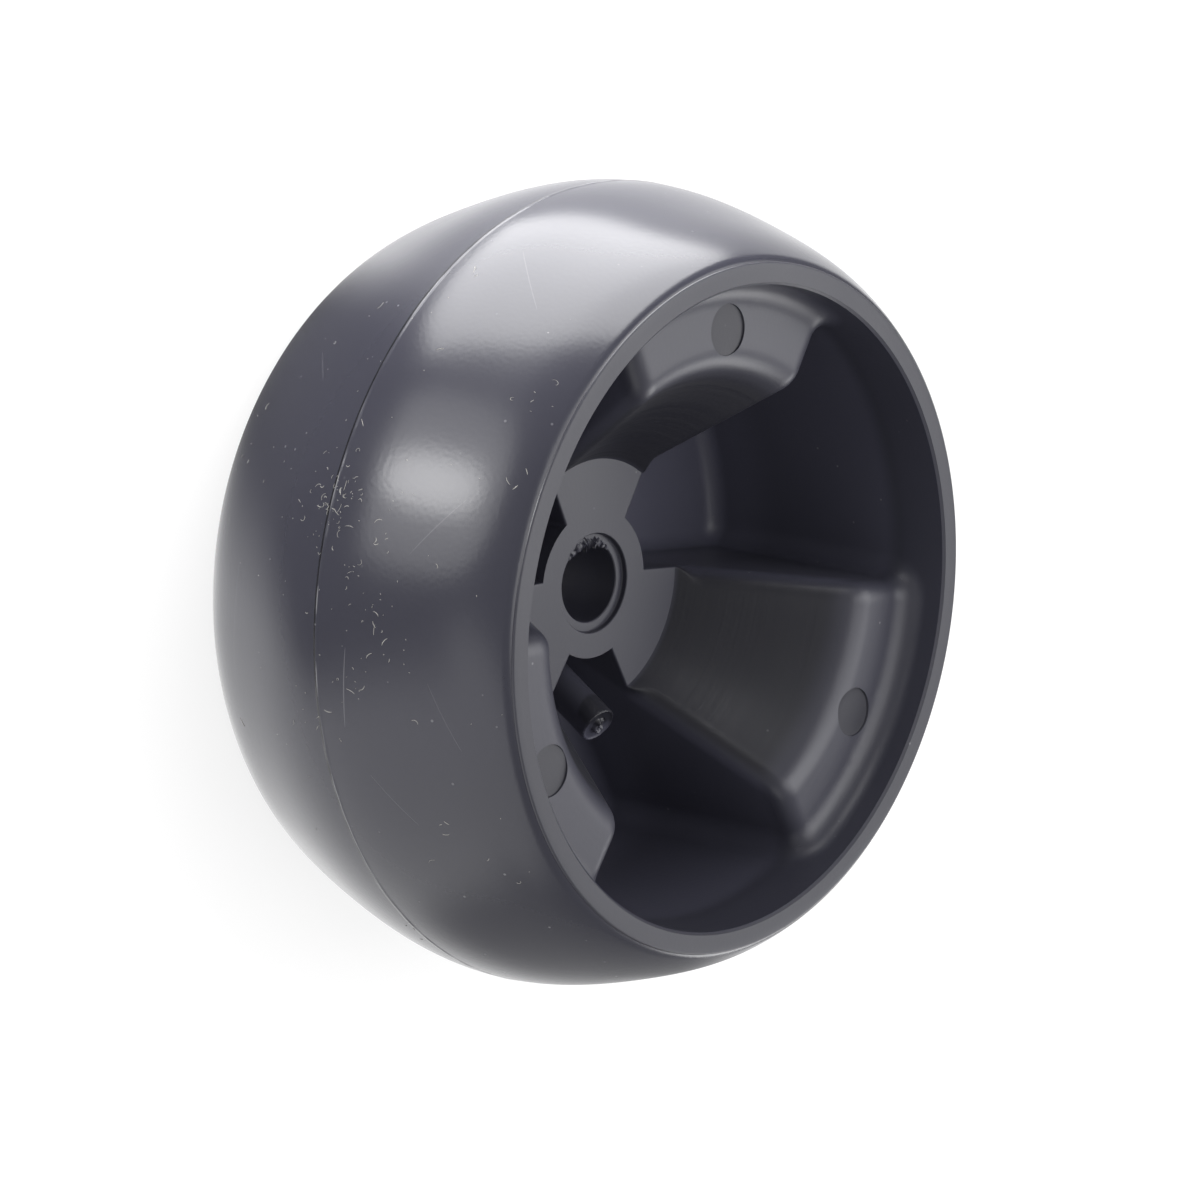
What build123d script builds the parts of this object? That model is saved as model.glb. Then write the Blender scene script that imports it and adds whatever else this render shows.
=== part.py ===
from build123d import *
import os
from math import cos, hypot, radians, sin, tan

# A one-piece plastic wheel for the edge of a mower deck, moulded between two straight-pull cores.
# Z is the wheel's axis, the deep side that takes the bolt head faces +Z, and the origin is at mid-width.

# Tread barrel
outer_d = 127.0
width = 62.4
flank_d = 121.15
rim_d = 106.3
rim_w = 3.45
rim_slope = 43.0
edge_break = 0.4
parting_z = 1.8
seam_h = 0.2
seam_w = 0.9
wall_draft = 0.5

# Hub and bore
hub_d = 24.0
hub_l = 30.5
bore_d = 12.7
recess_d = 15.9
recess_depth = 1.0

# Web: sectors that rise to the front as trumpets, with deep pockets between them
sectors = 3
web_t = 3.6
side_t = 3.2
side_angle = 28.0
side_offset = 1.6
side_draft = 1.0
wing_r = 19.8
cone_angle = 55.0
lip_round = 5.0
pad_drop = 7.0
edge_round = 3.2
corner_round = 4.0
floor_rise = 14.2
floor_round = 3.0
back_round = 2.4

# Ejector-pin marks on the pads
mark_d = 8.0
mark_depth = 0.35
mark_pitch_r = 42.3

# Sprue post with its torn tip, leaning out of one pocket
post_d = 6.2
post_lean = 31.5
post_tip_r = 22.5
post_tip_rise = 2.1
post_l = 26.0
pip_d = 2.6
pip_h = 0.7

# Levels and radii that follow
rim_z = width / 2
face_z = hub_l - rim_z
pad_z = rim_z - pad_drop
floor_z = floor_rise - rim_z
back_floor_z = floor_z - web_t
mouth_r = rim_d / 2 - rim_w
hub_r = hub_d / 2
overrun = 2.0
pitch = 360 / sectors
sector_at = [pitch / 2 + pitch * n for n in range(sectors)]
cone_tan = tan(radians(cone_angle))
mitre = tan(radians(cone_angle / 2))
cone_top_r = wing_r + (pad_z - face_z) / cone_tan


def front_wall_r(z):
    """Radius of the barrel's inner wall, drafted to open towards the front."""
    return mouth_r - tan(radians(wall_draft)) * (rim_z - edge_break - z)


def back_wall_r(z):
    """Radius of the barrel's inner wall, drafted to open towards the back."""
    return mouth_r - tan(radians(wall_draft)) * (rim_z - edge_break + z)


def turned(*points, rounds=()):
    """A solid of revolution about Z from (radius, height) corners, some of them rounded."""
    section = make_face(Polyline(*points, close=True))
    for corner, radius in rounds:
        near = section.vertices().sort_by_distance(corner)[0]
        section = fillet(near, radius)
    return revolve(Plane.XZ * section, Axis.Z)


def tread_blank():
    """The crowned barrel before it is cored out, with the parting-line ridge round it."""
    lean = radians(rim_slope)
    tread = Spline(
        (rim_d / 2, -rim_z),
        (flank_d / 2, -rim_z / 2),
        (outer_d / 2, 0),
        (flank_d / 2, rim_z / 2),
        (rim_d / 2, rim_z),
        tangents=[(sin(lean), cos(lean)), (-sin(lean), cos(lean))],
    )
    closing = Polyline(tread @ 1, (0, rim_z), (0, -rim_z), tread @ 0)
    blank = revolve(Plane.XZ * make_face([tread, closing]), Axis.Z)
    tread_r = outer_d / 2
    ridge = turned(
        (tread_r - 1, parting_z - seam_w / 2),
        (tread_r - seam_h / 2, parting_z - seam_w / 2),
        (tread_r + seam_h, parting_z),
        (tread_r - seam_h / 2, parting_z + seam_w / 2),
        (tread_r - 1, parting_z + seam_w / 2),
    )
    return blank + ridge


def sector_wedge(inset=0.0):
    """The drafted wedge that one sector fills, centred on +X, its sides moved in by inset."""
    angle = radians(side_angle)
    foot = -rim_z - overrun
    rise = 2 * (rim_z + overrun)
    offset = side_offset - inset + tan(radians(side_draft)) * (face_z - foot)
    reach = outer_d
    spread = reach * tan(angle) + offset / cos(angle)
    plan = make_face(Polyline((-offset / sin(angle), 0), (reach, -spread), (reach, spread), close=True))
    return extrude(Plane.XY.offset(foot) * plan, rise, taper=side_draft)


def trumpet():
    """One front sector: flat wing at the hub, cone, rounded lip and flat pad, with rolled side edges."""
    low = -rim_z - overrun
    body = turned(
        (0, low),
        (0, face_z),
        (wing_r, face_z),
        (cone_top_r, pad_z),
        (outer_d / 2, pad_z),
        (outer_d / 2, low),
        rounds=[((cone_top_r, pad_z), lip_round)],
    )
    sector = body & sector_wedge()
    upper = sector.edges().filter_by(lambda edge: edge.center().Z > face_z + 1)
    inner = upper.filter_by(lambda edge: edge.center().X < mouth_r)
    return fillet(inner.filter_by(lambda edge: abs(edge.center().Y) > 1), edge_round)


def near_wall(edge):
    """True for an edge that lies against the barrel's inner wall."""
    middle = edge @ 0.5
    return hypot(middle.X, middle.Y) > mouth_r - corner_round / 2


def level(edge, height):
    """True for an edge that lies flat at this height."""
    return all(abs((edge @ t).Z - height) < 0.01 for t in (0, 0.5, 1))


def front_core():
    """The metal that forms the open side: a bowl down to the pocket floors, less the trumpets."""
    core = turned(
        (0, face_z),
        (hub_r, face_z),
        (hub_r, floor_z),
        (front_wall_r(floor_z), floor_z),
        (mouth_r, rim_z - edge_break),
        (mouth_r + edge_break + overrun, rim_z + overrun),
        (0, rim_z + overrun),
    )
    horn = trumpet()
    for angle in sector_at:
        core -= Rot(Z=angle) * horn
    upright = core.edges().filter_by(lambda edge: near_wall(edge) and floor_z < (edge @ 0.5).Z < pad_z)
    core = fillet(upright.filter_by(GeomType.ELLIPSE), corner_round)
    return fillet(core.edges().filter_by(lambda edge: level(edge, floor_z)), floor_round)


def back_core():
    """The metal that forms the far side: a shallow ring behind the floors and a pocket under each pad."""
    low = -rim_z - overrun
    ring = turned(
        (hub_r, low),
        (hub_r, back_floor_z),
        (back_wall_r(back_floor_z), back_floor_z),
        (mouth_r, edge_break - rim_z),
        (mouth_r + edge_break + overrun, low),
        rounds=[((back_wall_r(back_floor_z), back_floor_z), back_round), ((hub_r, back_floor_z), back_round)],
    )
    under = turned(
        (hub_r, low),
        (hub_r, face_z - web_t),
        (wing_r + web_t * mitre, face_z - web_t),
        (cone_top_r + web_t * mitre, pad_z - web_t),
        (back_wall_r(pad_z - web_t), pad_z - web_t),
        (back_wall_r(low), low),
    )
    hollow = under & sector_wedge(side_t)
    tops = hollow.edges().filter_by(lambda edge: (edge @ 0.5).Z > back_floor_z)
    hollow = fillet(tops, back_round)
    for angle in sector_at:
        ring += Rot(Z=angle) * hollow
    return ring


def sprue_post():
    """The leaning post that the plastic was fed through, with the stub torn off in its end face."""
    seat = Pos(post_tip_r, 0, face_z + post_tip_rise) * Rot(Y=post_lean)
    post = seat * Pos(0, 0, -post_l / 2) * Cylinder(post_d / 2, post_l)
    pip = seat * Pos(0, 0, pip_h / 2) * Cone(pip_d / 2, pip_d / 3, pip_h)
    return post + pip


def bore_core():
    """The pin that forms the bore, with the shallow recess round its front mouth and a broken back edge."""
    bore_r = bore_d / 2
    return turned(
        (0, -rim_z - overrun),
        (bore_r + edge_break + overrun, -rim_z - overrun),
        (bore_r, edge_break - rim_z),
        (bore_r, face_z - recess_depth),
        (recess_d / 2, face_z - recess_depth),
        (recess_d / 2, face_z + overrun),
        (0, face_z + overrun),
    )


def wheel():
    """The whole moulding."""
    body = tread_blank() - front_core() - back_core() + sprue_post() - bore_core()
    mark = Pos(mark_pitch_r, 0, pad_z) * Cylinder(mark_d / 2, 2 * mark_depth)
    for angle in sector_at:
        body -= Rot(Z=angle) * mark
    return body


os.makedirs("parts", exist_ok=True)
export_step(wheel(), "parts/wheel.step")
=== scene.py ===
from math import cos, pi, radians, sin, tan

import bpy
import numpy as np
from mathutils import Matrix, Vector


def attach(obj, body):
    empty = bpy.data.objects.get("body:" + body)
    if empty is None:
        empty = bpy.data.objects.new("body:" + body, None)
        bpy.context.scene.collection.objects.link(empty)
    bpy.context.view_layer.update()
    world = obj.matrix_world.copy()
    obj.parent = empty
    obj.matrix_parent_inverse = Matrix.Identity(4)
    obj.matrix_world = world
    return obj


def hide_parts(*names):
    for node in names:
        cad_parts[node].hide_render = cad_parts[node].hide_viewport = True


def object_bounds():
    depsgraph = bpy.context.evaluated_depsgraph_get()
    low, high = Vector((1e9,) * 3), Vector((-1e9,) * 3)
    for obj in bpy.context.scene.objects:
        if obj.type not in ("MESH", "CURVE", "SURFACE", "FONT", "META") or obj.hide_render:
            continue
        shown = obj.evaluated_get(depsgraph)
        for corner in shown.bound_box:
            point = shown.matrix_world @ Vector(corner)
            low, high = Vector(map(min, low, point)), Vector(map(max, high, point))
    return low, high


bl_info = {
    "name": "Mower Deck Wheel",
    "version": (1, 0, 0),
    "blender": (4, 5, 0),
    "location": "View3D > Sidebar > Deck Wheel",
    "description": "Builds the dressed surfaces, plastic and studio of a moulded mower deck wheel",
    "category": "Object",
}

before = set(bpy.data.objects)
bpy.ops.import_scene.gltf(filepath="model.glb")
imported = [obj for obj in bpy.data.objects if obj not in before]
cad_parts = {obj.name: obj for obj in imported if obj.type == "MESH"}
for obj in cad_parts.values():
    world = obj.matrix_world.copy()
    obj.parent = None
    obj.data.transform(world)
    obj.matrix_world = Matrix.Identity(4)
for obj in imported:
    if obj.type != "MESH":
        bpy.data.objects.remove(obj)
CAD_LOW, CAD_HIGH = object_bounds()

MM = 0.001
HALF_PITCH = radians(60)

# Columns of the web's grid over half a sector and half a pocket: top, rolled edge, side wall, foot, floor
HALF_COLUMNS = (36, 8, 34, 7, 23)
HALF_TOTAL = sum(HALF_COLUMNS)
RING_TOTAL = 6 * HALF_TOTAL

# The pin marks' windows in that grid: columns to each side, reach inwards and outwards and rise over the
# pad in millimetres, how far each ring has come from window to mark, and the rings' sizes on the mark's floor
WINDOW_COLUMNS = 12
WINDOW_REACH = (6.1, 5.9)
WINDOW_RISE = 1.6
WINDOW_RINGS = (0.25, 0.5, 0.72, 0.88, 1.0)
FLOOR_RINGS = (0.985, 0.94, 0.7, 0.4, 0.12)

# How far the crown falls at the rims by the 2nd, 4th and 6th power of the height, in millimetres
CROWN_FALL = (14.231, -12.201, 8.319)

# The post's end from its drum inwards: share of its radius, and height over its end face in millimetres
POST_END = (
    (1.0, -2.0), (1.0, -0.4), (0.985, -0.02), (0.95, 0.1), (0.9, 0.1), (0.86, 0.0),
    (0.8, -0.08), (0.7, -0.1), (0.6, -0.1), (0.5, -0.1), (0.44, 0.0), (0.4, 0.3),
    (0.36, 0.55), (0.3, 0.6), (0.22, 0.35), (0.12, 0.25), (0.02, 0.2),
)

# Where chips and dust lie on the tread: angle in degrees, height and spread in millimetres, and count
CHIP_GROUPS = (
    (-108.5, 2.0, 3.2, 34), (-104.0, 3.2, 2.6, 26), (-102.5, 10.5, 1.6, 4), (-98.3, 7.5, 1.6, 6),
    (-93.4, 11.0, 1.8, 12), (-88.0, 11.5, 2.6, 6), (-84.0, 8.0, 2.2, 6), (-77.5, 0.5, 3.0, 9),
    (-63.0, 19.0, 4.0, 4), (-55.0, 22.0, 6.0, 3), (-38.5, 0.5, 1.8, 6), (-127.0, 25.5, 2.4, 5),
    (-115.0, 26.0, 2.6, 4), (-138.0, 6.0, 6.0, 5), (-112.0, -22.0, 4.0, 6), (-100.0, 2.0, 17.0, 90),
)

# Long fine scratches: first and last angle and height, and how pale each is
SCRATCHES = (
    ((-110.8, 22.8), (-101.2, 15.9), 0.35),
    ((-87.8, 7.2), (-76.7, 6.2), 0.8),
    ((-150.0, 10.0), (-141.0, 19.0), 0.3),
    ((-70.0, 9.0), (-62.0, 14.5), 0.3),
    ((-128.0, -14.0), (-123.0, -9.5), 0.5),
    ((-96.0, -19.0), (-78.0, -21.0), 0.3),
    ((-84.0, 20.0), (-74.0, 24.0), 0.25),
)

# Soft lights: name, the property with its power and its share of that, place, aim, width and height, tilt
LAMPS = (
    ("key_panel", "key", 1.0, (-0.100, -0.024, 0.006), (0.0, -0.024, 0.006), (0.072, 0.102), 32.0),
    ("glint", "glint", 1.0, (-0.0775, -0.151, 0.003), (-0.024, -0.056, 0.016), (0.038, 0.056), 0.0),
    ("glint_glow", "glint", 1.5, (-0.0775, -0.151, 0.003), (-0.024, -0.056, 0.016), (0.125, 0.112), 0.0),
    ("fill_panel", "fill", 1.0, (0.35, 0.45, 0.20), (0.0, 0.0, 0.02), (0.30, 0.24), 0.0),
    ("top_panel", "top", 1.0, (-0.12, 0.38, 0.50), (0.0, 0.0, 0.02), (0.55, 0.42), 0.0),
    ("overhead", "overhead", 1.0, (-0.10, 0.02, 0.58), (0.0, 0.0, 0.02), (0.45, 0.45), 0.0),
)

# Colour of dust, scratches and the painted highlight on the seam's crest, and the glossy skin's largest
# roughness: from about 0.27 upwards the renderer's denoiser leaves faint contour lines on the tread
PALE_DUST_AND_PAINTED_HIGHLIGHT = (0.33, 0.33, 0.34)
SKIN_LIMIT = 0.268

# The camera's right, up and back directions, and its place in metres
CAMERA_AXES = ((-0.0404, 0.6609, 0.7494), (-0.9859, 0.0955, -0.1373), (-0.1623, -0.7444, 0.6477))
CAMERA_PLACE = (-0.09005, -0.4245, 0.3701)


# Sizes and colours that a user would change


def length(name, description, millimetres):
    """A length property whose default is given in millimetres."""
    return bpy.props.FloatProperty(
        name=name,
        description=description,
        default=millimetres * MM,
        unit="LENGTH",
        subtype="DISTANCE",
        precision=4,
    )


def angle(name, description, degrees):
    """An angle property whose default is given in degrees."""
    return bpy.props.FloatProperty(
        name=name, description=description, default=radians(degrees), unit="ROTATION", subtype="ANGLE"
    )


def share(name, description, value, top=1.0):
    """A plain number between nothing and its top."""
    return bpy.props.FloatProperty(
        name=name, description=description, default=value, min=0.0, max=top
    )


def colour(name, description, value):
    """A linear colour property."""
    return bpy.props.FloatVectorProperty(
        name=name, description=description, default=value, min=0.0, max=1.0, size=3, subtype="COLOR"
    )


class DECKWHEEL_PG_barrel(bpy.types.PropertyGroup):
    width: length("Width", "Rim to rim", (CAD_HIGH[2] - CAD_LOW[2]) / MM)
    outer_r: length("Crown radius", "Largest radius of the tread", 63.5)
    rim_r: length("Rim radius", "Outer radius of each flat rim", 53.15)
    mouth_r: length("Mouth radius", "Inner radius at the rims", 49.7)
    edge_break: length("Edge break", "Chamfer inside each rim", 0.4)
    rim_round: length("Rim round", "Round outside each rim", 0.35)
    parting_z: length("Parting height", "Height of the parting line above mid-width", 1.8)
    seam_h: length("Seam height", "How far the parting ridge stands out", 0.08)
    seam_w: length("Seam width", "Width of the parting ridge", 0.8)
    wall_draft: angle("Wall draft", "Draft of the inner walls", 0.5)


class DECKWHEEL_PG_web(bpy.types.PropertyGroup):
    hub_r: length("Hub radius", "Outer radius of the hub", 12.0)
    hub_l: length("Hub length", "Length of the hub", 30.5)
    bore_r: length("Bore radius", "Radius of the axle bore", 6.35)
    recess_r: length("Recess radius", "Radius of the shallow recess round the bore", 7.95)
    recess_depth: length("Recess depth", "Depth of that recess", 1.0)
    web_t: length("Web thickness", "Thickness of floors and trumpets", 3.6)
    side_t: length("Side thickness", "Thickness of the side walls", 3.2)
    side_angle: angle("Side angle", "Half angle between a sector's sides", 28.0)
    side_offset: length("Side offset", "How far each side stands off its radial line", 1.6)
    side_draft: angle("Side draft", "Draft of the side walls", 1.0)
    wing_r: length("Wing radius", "Where the flat wings end and the cones begin", 19.8)
    cone_angle: angle("Cone angle", "Slope of the trumpets", 55.0)
    lip_round: length("Lip round", "Round between cone and pad", 5.0)
    pad_drop: length("Pad drop", "How far the pads lie inside the rim", 7.0)
    edge_round: length("Edge round", "Round of the sectors' side edges", 3.2)
    corner_round: length("Corner round", "Fillet against the barrel", 4.0)
    floor_rise: length("Floor rise", "Height of the pocket floors above the far rim", 14.2)
    floor_round: length("Floor round", "Fillet round the pocket floors", 3.0)
    back_round: length("Back round", "Fillet of the hollows on the far side", 2.4)
    mark_r: length("Pin mark radius", "Radius of the ejector-pin marks", 4.0)
    mark_depth: length("Pin mark depth", "Depth of the ejector-pin marks", 0.35)
    mark_pitch_r: length("Pin mark pitch radius", "Where the pin marks lie", 42.3)


class DECKWHEEL_PG_post(bpy.types.PropertyGroup):
    radius: length("Radius", "Radius of the sprue post", 3.1)
    lean: angle("Lean", "How far the post leans outwards", 31.5)
    tip_r: length("Tip radius", "Distance of the post's tip from the axis", 22.5)
    tip_z: length("Tip height", "Height of the post's tip", 1.4)
    reach: length("Reach", "Length of the post down to its root", 26.0)


class DECKWHEEL_PG_chip(bpy.types.PropertyGroup):
    length: length("Length", "Length of the longest moulding chips", 1.6)
    width: length("Width", "Width of a chip", 0.1)
    lift: length("Lift", "How far a chip stands off the tread", 0.06)
    shade: colour("Shade", "Colour of chips and dust", (0.24, 0.235, 0.22))


class DECKWHEEL_PG_look(bpy.types.PropertyGroup):
    plastic: colour("Plastic", "Colour of the moulding", (0.0235, 0.0235, 0.033))
    roughness: share("Roughness", "Roughness of the moulded skin", 0.25)
    dust: share("Dust", "Amount of pale specks", 0.5)
    scratches: share("Scratches", "Strength of the fine scratches", 0.5)


class DECKWHEEL_PG_studio(bpy.types.PropertyGroup):
    focal: bpy.props.FloatProperty(
        name="Focal length", description="Lens in millimetres", default=108.49, unit="CAMERA"
    )
    key: share("Key panel", "Power of the large panel beside the tread in watts", 0.165, 100.0)
    glint: share("Glint", "Power of the small lamp in watts, shared by the glow round it", 0.062, 100.0)
    fill: share("Fill panel", "Power of the low panel behind the open face in watts", 1.15, 100.0)
    top: share("Top panel", "Power of the high panel behind the open face in watts", 2.4, 100.0)
    overhead: share("Overhead panel", "Power of the panel straight over the open face in watts", 1.4, 100.0)
    room: share("Room light", "Strength of the pale surroundings", 1.0, 5.0)
    gloom: share("Gloom", "How bright the unlit part of the room looks in reflections", 0.27)
    sweep: share("Sweep", "How bright the lit part of the room looks in reflections", 1.5, 5.0)
    floor: colour("Floor", "Colour of the floor", (0.9, 0.9, 0.9))


def in_mm(group):
    """The lengths of a property group in millimetres and its angles in radians, by name."""
    plain = {}
    for name, prop in group.bl_rna.properties.items():
        if prop.type == "FLOAT" and not prop.is_array:
            value = getattr(group, name)
            plain[name] = value / MM if prop.unit == "LENGTH" else value
    return plain


# Meshes


def grid_faces(rows, columns, flip=False, closed=True):
    """Corner numbers of a grid's faces, rows by columns by four, closed round its columns."""
    index = np.arange(rows * columns).reshape(rows, columns)
    if closed:
        index = np.concatenate([index, index[:, :1]], axis=1)
    a, b, c, d = index[:-1, :-1], index[:-1, 1:], index[1:, 1:], index[1:, :-1]
    return np.stack([a, b, c, d] if flip else [a, d, c, b], axis=-1)


def grid_object(name, points, flip=False, closed=True, sharp=34.0):
    """A mesh object from a grid of points in millimetres, rows by columns by three."""
    faces = grid_faces(*points.shape[:2], flip, closed).reshape(-1, 4)
    return mesh_object(name, points.reshape(-1, 3), faces, sharp)


def mesh_object(name, points, faces, sharp=34.0):
    """A smooth mesh object from points in millimetres and faces as an array of corner numbers."""
    mesh = bpy.data.meshes.new(name)
    mesh.from_pydata((points * MM).tolist(), [], faces.tolist())
    mesh.validate()
    mesh.shade_smooth()
    mesh.set_sharp_from_angle(angle=radians(sharp))
    piece = bpy.data.objects.new(name, mesh)
    bpy.context.scene.collection.objects.link(piece)
    return piece


def dressed(piece, material, stands_for_wheel=True):
    """Gives a piece its material and says what it rides on and stands for."""
    piece.data.materials.append(material)
    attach(piece, "root")
    if stands_for_wheel:
        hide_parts("wheel")


def wave_noise(angles, seed, low=3, high=40, count=14):
    """A periodic wobble between about -1 and 1: a sum of sines of whole orders with seeded phases."""
    source = np.random.default_rng(seed)
    orders = source.integers(low, high, count)
    phases = source.uniform(0, 2 * pi, count)
    weights = source.uniform(0.4, 1.0, count)
    total = sum(w * np.sin(n * angles + p) for n, p, w in zip(orders, phases, weights))
    return total / np.sqrt(np.sum(weights**2))


def smooth_step(value, low, high):
    """Zero below low, one above high, and a cubic ease between."""
    t = np.clip((value - low) / (high - low), 0, 1)
    return t * t * (3 - 2 * t)


# The web: one grid round the wheel that follows sectors, side walls and pockets


def join_round(first, second, radius):
    """Distance to two bodies joined by a fillet of this radius, from the distances to each."""
    corner = np.hypot(np.maximum(radius - first, 0), np.maximum(radius - second, 0))
    return np.maximum(radius, np.minimum(first, second)) - corner


def meet_round(first, second, radius):
    """Distance to what two bodies share, its edge rounded to this radius."""
    corner = np.hypot(np.maximum(radius + first, 0), np.maximum(radius + second, 0))
    return np.minimum(-radius, np.maximum(first, second)) + corner


class WebFace:
    """What the open face and the far face share. Heights run up towards the viewer of the face."""

    def __init__(self, barrel, web):
        self.b, self.w = barrel, web
        self.rim_z = barrel["width"] / 2
        self.face_z = web["hub_l"] - self.rim_z
        self.pad_z = self.rim_z - web["pad_drop"]
        self.floor_z = web["floor_rise"] - self.rim_z
        self.slope = tan(web["cone_angle"])
        self.mitre = tan(web["cone_angle"] / 2)
        self.cone_top_r = web["wing_r"] + (self.pad_z - self.face_z) / self.slope

    def wall_r(self, z):
        """Radius of the barrel's inner wall: it opens towards the rim by the draft."""
        return self.b["mouth_r"] - tan(self.b["wall_draft"]) * (self.rim_z - self.b["edge_break"] - z)

    def offset(self, z):
        """How far a sector's side stands off its radial line: it grows downwards by the draft."""
        return self.w["side_offset"] + tan(self.w["side_draft"]) * (self.face_z - z)


class OpenFace(WebFace):
    """The photographed face: trumpets as the high parts, deep pockets as the low parts."""

    high_at = (60, 180, 300)
    up = 1

    def __init__(self, barrel, web):
        super().__init__(barrel, web)
        self.hub_z = self.face_z
        self.foot = web["floor_round"]
        cone = web["cone_angle"]
        lip = web["lip_round"]
        self.lip_r = self.cone_top_r + lip * self.mitre
        self.lip_z = self.pad_z - lip
        self.lip_start_r = self.lip_r - lip * sin(cone)

    def rows(self):
        """Radii of the rows on the high and on the low parts: close together at the lip and the fillets."""
        high = np.concatenate(
            [
                np.linspace(13.5, 19.4, 7),
                [self.w["wing_r"]],
                np.linspace(20.2, 33.6, 20),
                np.linspace(34.1, 40.1, 13),
                np.linspace(40.8, 44.8, 6),
                np.linspace(45.4, self.wall_r(self.pad_z), 10),
            ]
        )
        low = np.linspace(self.w["hub_r"], self.wall_r(self.floor_z), len(high))
        return high, low

    def high_z(self, r):
        """Flat wing, straight cone, round lip, flat pad."""
        cone = self.face_z + (r - self.w["wing_r"]) * self.slope
        bow = np.sqrt(np.maximum(self.w["lip_round"] ** 2 - (r - self.lip_r) ** 2, 0))
        z = np.where(r < self.lip_start_r, np.maximum(cone, self.face_z), self.lip_z + bow)
        return np.where(r > self.lip_r, self.pad_z, z)

    def pad_height(self, r):
        """Height of the trumpet's top with its fillet against the barrel's wall."""
        fillet = self.w["corner_round"]
        near = np.maximum(r - (self.wall_r(self.pad_z) - fillet), 0)
        return self.high_z(r) + fillet - np.sqrt(np.maximum(fillet**2 - near**2, 0))

    def low_z(self, r):
        """The flat pocket floor."""
        return np.full_like(r, self.floor_z)

    def side(self, r, z):
        """Angle of the sector's side wall from the sector's middle at a radius and height."""
        return self.w["side_angle"] + np.arcsin(np.clip(self.offset(z) / r, -1, 1))

    def edge(self, r):
        """Round of the side edge: small on the wing, full on the cone and pad."""
        return 0.3 + (self.w["edge_round"] - 0.3) * smooth_step(r, 19.9, 22.4)

    def distance(self, x, y, z):
        """Height above the plastic: trumpet, barrel, floor and hub joined by their fillets."""
        w = self.w
        r = np.hypot(x, y)
        across = np.abs(y)
        cone = (z - self.face_z) * cos(w["cone_angle"]) - (r - w["wing_r"]) * sin(w["cone_angle"])
        pad = z - self.pad_z
        to_r, to_z = r - self.lip_r, z - self.lip_z
        in_lip = (to_r < 0) & (to_r * cos(w["cone_angle"]) + to_z * sin(w["cone_angle"]) > 0)
        horn = np.where(in_lip, np.hypot(to_r, to_z) - w["lip_round"], np.maximum(cone, pad))
        top = np.minimum(z - self.face_z, horn)
        side = across * cos(w["side_angle"]) - x * sin(w["side_angle"]) - self.offset(z)
        trumpet = meet_round(top, side, self.edge(r))
        walls = join_round(trumpet, self.wall_r(z) - r, w["corner_round"])
        floor = z - self.floor_z
        hub = np.maximum(r - w["hub_r"], z - self.face_z)
        return np.minimum(join_round(walls, floor, self.foot), join_round(hub, floor, self.foot))


class FarFace(WebFace):
    """The face on the far side, heights turned over: a shallow ring with a hollow under each trumpet."""

    high_at = (0, 120, 240)
    up = -1

    def __init__(self, barrel, web):
        super().__init__(barrel, web)
        self.hub_z = self.rim_z
        self.foot = web["back_round"]
        self.ring_z = web["web_t"] - self.floor_z
        self.hollow_z = web["web_t"] - self.face_z
        self.deep_z = web["web_t"] - self.pad_z
        self.bend_r = web["wing_r"] + web["web_t"] * self.mitre
        self.edge_r = 0.35
        self.roof_r = 1.2

    def rows(self):
        """Radii of the rows on the ring's floor and in the hollows."""
        high = np.linspace(self.w["hub_r"], self.wall_r(self.ring_z), 48)
        low = np.linspace(self.w["hub_r"], self.wall_r(self.deep_z), 48)
        return high, low

    def high_z(self, r):
        """The flat floor of the ring."""
        return np.full_like(r, self.ring_z)

    def low_z(self, r):
        """Roof of the hollow: flat under the wing, sloping under the cone, flat under the pad."""
        return np.clip(self.hollow_z - (r - self.bend_r) * self.slope, self.deep_z, self.hollow_z)

    def side(self, r, z):
        """Angle of the hollow's side from the middle of the pocket beside it."""
        inner = self.offset(-z) - self.w["side_t"]
        return HALF_PITCH - self.w["side_angle"] - np.arcsin(np.clip(inner / r, -1, 1))

    def edge(self, r):
        """The ring's floor breaks into the hollow with a small round."""
        return np.full_like(r, self.edge_r)

    def distance(self, x, y, z):
        """Height above the plastic: the ring and the hollow are each cut with filleted corners."""
        w = self.w
        r = np.hypot(x, y)
        wall = self.wall_r(z) - r
        hub = r - w["hub_r"]
        ring = join_round(join_round(z - self.ring_z, wall, self.foot), hub, self.foot)
        slant = (z - self.hollow_z) * cos(w["cone_angle"]) + (r - self.bend_r) * sin(w["cone_angle"])
        roof = meet_round(z - self.hollow_z, join_round(slant, z - self.deep_z, self.foot), self.roof_r)
        turn = HALF_PITCH
        along = x * cos(turn) + np.abs(y) * sin(turn)
        across = np.abs(-x * sin(turn) + np.abs(y) * cos(turn))
        inner = self.offset(-z) - w["side_t"]
        side = inner - (across * cos(w["side_angle"]) - along * sin(w["side_angle"]))
        hollow = join_round(join_round(roof, side, self.foot), wall, self.foot)
        hollow = join_round(hollow, hub, self.foot)
        return meet_round(ring, hollow, self.edge_r)


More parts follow.
